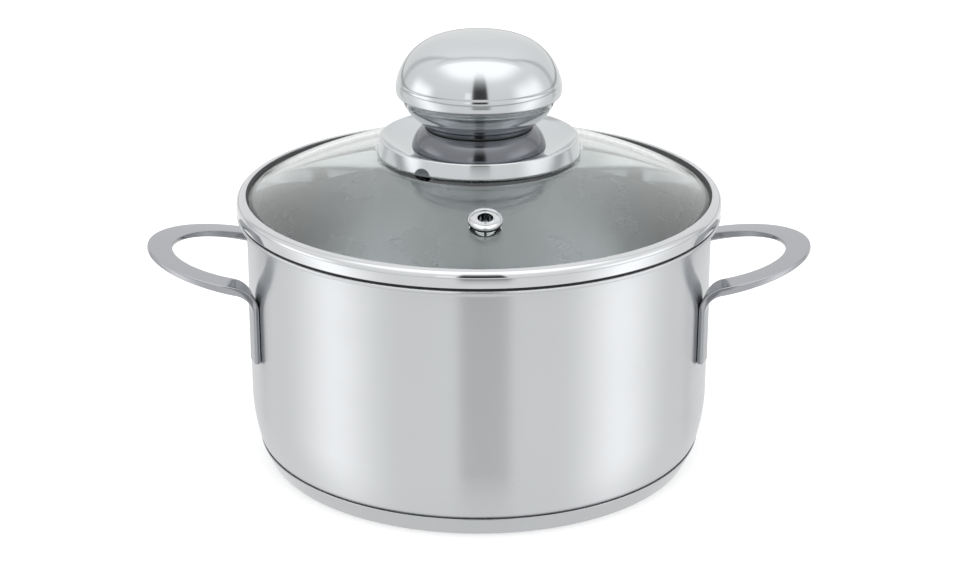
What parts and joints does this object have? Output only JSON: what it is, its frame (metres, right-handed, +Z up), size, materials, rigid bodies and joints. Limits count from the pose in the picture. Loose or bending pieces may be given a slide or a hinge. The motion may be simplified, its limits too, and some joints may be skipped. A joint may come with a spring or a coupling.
{
  "type": "saucepan with glass lid",
  "caption": "Low stainless steel saucepan with loop handles, capsule base, and a loose domed glass lid with steel ring, steam vent and round steel knob.",
  "frame": {"origin": "on the table under the pot's axis, at the bottom of the base", "axes": "+Z up along the pot's axis, +X through the two handles, -Y towards the steam vent"},
  "size_m": [0.2344, 0.17, 0.152],
  "materials": {
    "polished_steel": "mirror-polished drawn stainless steel outside, satin inside",
    "base_steel": "satin stainless steel with fine turned lines",
    "aluminium_core": "plain aluminium",
    "handle_steel": "polished forged stainless steel",
    "lid_steel": "polished rolled stainless steel",
    "knob_steel": "polished pressed stainless steel",
    "clear_glass": "clear tempered glass",
    "grey_sealant": "matt silicone sealant",
    "black_silicone": "matt silicone rubber",
    "black_plastic": "matt heat-resistant phenolic plastic",
    "fastener_steel": "plain stainless steel"
  },
  "bodies": {
    "pot": {"pot_body": "polished_steel", "base_core": "aluminium_core", "base_cap": "base_steel", "handle_left": "handle_steel", "handle_right": "handle_steel"},
    "lid": {"lid_glass": "clear_glass", "lid_rim": "lid_steel", "rim_seal": "grey_sealant", "vent_eyelet": "lid_steel", "vent_seal": "black_silicone", "knob_cap": "knob_steel", "knob_shell": "knob_steel", "knob_neck_washer": "black_plastic", "knob_bell": "knob_steel", "knob_flange": "knob_steel", "knob_bush": "fastener_steel", "knob_screw": "fastener_steel", "lock_washer": "fastener_steel", "flat_washer": "fastener_steel", "glass_seal_upper": "black_silicone", "glass_seal_lower": "black_silicone"}
  },
  "joints": [
    {"name": "lid_lift", "type": "slide", "parent": "pot", "child": "lid", "axis": [0, 0, 1], "range_m": [0, 0.12]}
  ]
}
